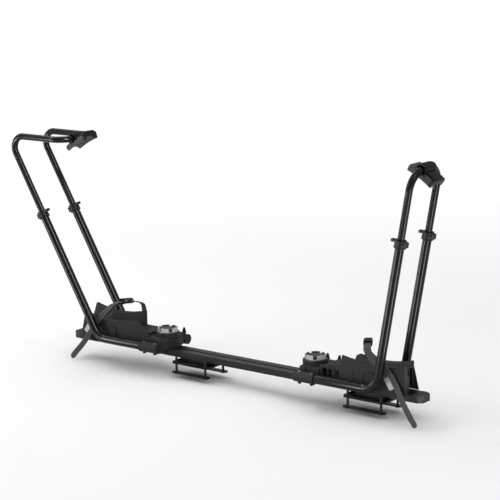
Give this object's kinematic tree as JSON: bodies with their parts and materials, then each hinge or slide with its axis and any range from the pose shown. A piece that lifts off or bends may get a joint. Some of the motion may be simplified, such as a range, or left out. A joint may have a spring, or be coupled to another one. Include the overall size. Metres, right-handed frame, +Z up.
{
  "type": "roof mounted bike carrier",
  "caption": "Roof bar bike carrier: a rail with sliding wheel trays, and telescopic hoops whose saddles press on the tyres to hold a bicycle upright",
  "frame": {"origin": "on the underside of the rail, at its mid length and mid width", "axes": "+X along the rail towards the front wheel, +Y towards the far side of the picture, +Z up"},
  "size_m": [1.6594, 0.19, 0.7879],
  "materials": {
    "anodised_rail": "black anodised extrusion, satin",
    "painted_steel": "gloss black powder coat",
    "coated_clamp_steel": "satin black coat",
    "black_fastener": "black oxide",
    "zinc_fastener": "zinc plated",
    "moulded_grey": "fine grained moulding",
    "moulded_black": "fine grained moulding",
    "knob_grey": "satin moulding",
    "rubber_grey": "matt",
    "rubber_black": "matt",
    "webbing": "woven",
    "reflective_patch": "retroreflective coat"
  },
  "bodies": {
    "rail_body": {"rail": "anodised_rail", "front_end_cap": "moulded_black", "rear_end_cap": "moulded_black", "front_clamp_plate": "coated_clamp_steel", "rear_clamp_plate": "coated_clamp_steel", "front_seat_block": "moulded_black", "rear_seat_block": "moulded_black", "front_seat_pad": "rubber_black", "rear_seat_pad": "rubber_black", "clamp_nuts": "black_fastener", "rail_t_bolts": "zinc_fastener"},
    "front_jaw": {"front_jaw_bars": "coated_clamp_steel", "front_jaw_bolts": "black_fastener"},
    "front_cradle": {"front_bracket": "moulded_grey", "front_tray": "moulded_grey", "front_tube_near": "painted_steel", "front_tube_far": "painted_steel", "front_sleeve_bolts": "zinc_fastener", "front_sleeve_nuts": "moulded_black", "front_collar_near": "moulded_black", "front_collar_far": "moulded_black", "front_strap": "webbing", "front_buckle_strap": "webbing", "front_buckle_frame": "moulded_black", "front_buckle_pin": "zinc_fastener", "front_patch": "reflective_patch"},
    "front_knob_body": {"front_knob": "knob_grey", "front_spindle": "zinc_fastener"},
    "front_shoe": {"front_clamp_shoe": "zinc_fastener"},
    "front_hoop_body": {"front_hoop": "painted_steel"},
    "front_saddle": {"front_saddle_pad": "rubber_grey", "front_saddle_cap": "moulded_black"},
    "front_near_button": {"front_release_near": "moulded_black"},
    "front_far_button": {"front_release_far": "moulded_black"},
    "front_lever": {"front_buckle_lever": "moulded_black"},
    "rear_jaw": {"rear_jaw_bars": "coated_clamp_steel", "rear_jaw_bolts": "black_fastener"},
    "rear_cradle": {"rear_bracket": "moulded_grey", "rear_tray": "moulded_grey", "rear_tube_near": "painted_steel", "rear_tube_far": "painted_steel", "rear_sleeve_bolts": "zinc_fastener", "rear_sleeve_nuts": "moulded_black", "rear_collar_near": "moulded_black", "rear_collar_far": "moulded_black", "rear_strap": "webbing", "rear_buckle_strap": "webbing", "rear_buckle_frame": "moulded_black", "rear_buckle_pin": "zinc_fastener", "rear_patch": "reflective_patch"},
    "rear_knob_body": {"rear_knob": "knob_grey", "rear_spindle": "zinc_fastener"},
    "rear_shoe": {"rear_clamp_shoe": "zinc_fastener"},
    "rear_hoop_body": {"rear_hoop": "painted_steel"},
    "rear_saddle": {"rear_saddle_pad": "rubber_grey", "rear_saddle_cap": "moulded_black"},
    "rear_near_button": {"rear_release_near": "moulded_black"},
    "rear_far_button": {"rear_release_far": "moulded_black"},
    "rear_lever": {"rear_buckle_lever": "moulded_black"}
  },
  "joints": [
    {"name": "front_jaw_slide", "type": "slide", "parent": "rail_body", "child": "front_jaw", "axis": [0, 0, 1], "range_m": [-0.01, 0.01]},
    {"name": "front_cradle_slide", "type": "slide", "parent": "rail_body", "child": "front_cradle", "axis": [1, 0, 0], "range_m": [-0.15, 0.02]},
    {"name": "front_knob_turn", "type": "hinge", "parent": "front_cradle", "child": "front_knob_body", "pos_m": [0.3, 0, 0.0703], "axis": [0, 0, 1], "range_deg": [0, 432]},
    {"name": "front_shoe_slide", "type": "slide", "parent": "front_cradle", "child": "front_shoe", "axis": [0, 0, 1], "range_m": [-0.0015, 0]},
    {"name": "front_hoop_slide", "type": "slide", "parent": "front_cradle", "child": "front_hoop_body", "axis": [0.1805, 0, 0.9836], "range_m": [-0.13, 0.1]},
    {"name": "front_saddle_tilt", "type": "hinge", "parent": "front_hoop_body", "child": "front_saddle", "pos_m": [0.69766, 0, 0.70475], "axis": [0, 1, 0], "range_deg": [-20, 20]},
    {"name": "front_lever_open", "type": "hinge", "parent": "front_cradle", "child": "front_lever", "pos_m": [0.505, -0.014, 0.1615], "axis": [0.866, 0.5, 0], "range_deg": [0, 75]},
    {"name": "front_near_press", "type": "slide", "parent": "front_cradle", "child": "front_near_button", "axis": [0.9836, 0, -0.1805], "range_m": [0, 0.003], "stiffness_N_per_m": 600, "springref_m": -0.001},
    {"name": "front_far_press", "type": "slide", "parent": "front_cradle", "child": "front_far_button", "axis": [0.9836, 0, -0.1805], "range_m": [0, 0.003], "stiffness_N_per_m": 600, "springref_m": -0.001},
    {"name": "rear_jaw_slide", "type": "slide", "parent": "rail_body", "child": "rear_jaw", "axis": [0, 0, 1], "range_m": [-0.01, 0.01]},
    {"name": "rear_cradle_slide", "type": "slide", "parent": "rail_body", "child": "rear_cradle", "axis": [1, 0, 0], "range_m": [-0.02, 0.15]},
    {"name": "rear_knob_turn", "type": "hinge", "parent": "rear_cradle", "child": "rear_knob_body", "pos_m": [-0.3, 0, 0.0703], "axis": [0, 0, 1], "range_deg": [0, 432]},
    {"name": "rear_shoe_slide", "type": "slide", "parent": "rear_cradle", "child": "rear_shoe", "axis": [0, 0, 1], "range_m": [-0.0015, 0]},
    {"name": "rear_hoop_slide", "type": "slide", "parent": "rear_cradle", "child": "rear_hoop_body", "axis": [-0.5075, 0, 0.8616], "range_m": [-0.15, 0.1]},
    {"name": "rear_saddle_tilt", "type": "hinge", "parent": "rear_hoop_body", "child": "rear_saddle", "pos_m": [-0.676, 0, 0.695], "axis": [0, 1, 0], "range_deg": [-20, 20]},
    {"name": "rear_lever_open", "type": "hinge", "parent": "rear_cradle", "child": "rear_lever", "pos_m": [-0.474, -0.014, 0.1585], "axis": [0.866, -0.5, 0], "range_deg": [0, 75]},
    {"name": "rear_near_press", "type": "slide", "parent": "rear_cradle", "child": "rear_near_button", "axis": [-0.8616, 0, -0.5075], "range_m": [0, 0.003], "stiffness_N_per_m": 600, "springref_m": -0.001},
    {"name": "rear_far_press", "type": "slide", "parent": "rear_cradle", "child": "rear_far_button", "axis": [-0.8616, 0, -0.5075], "range_m": [0, 0.003], "stiffness_N_per_m": 600, "springref_m": -0.001}
  ],
  "couplings": [
    {"joint": "front_shoe_slide", "follows": "front_knob_turn", "m_per_rad": -0.00019894},
    {"joint": "rear_shoe_slide", "follows": "rear_knob_turn", "m_per_rad": -0.00019894}
  ]
}
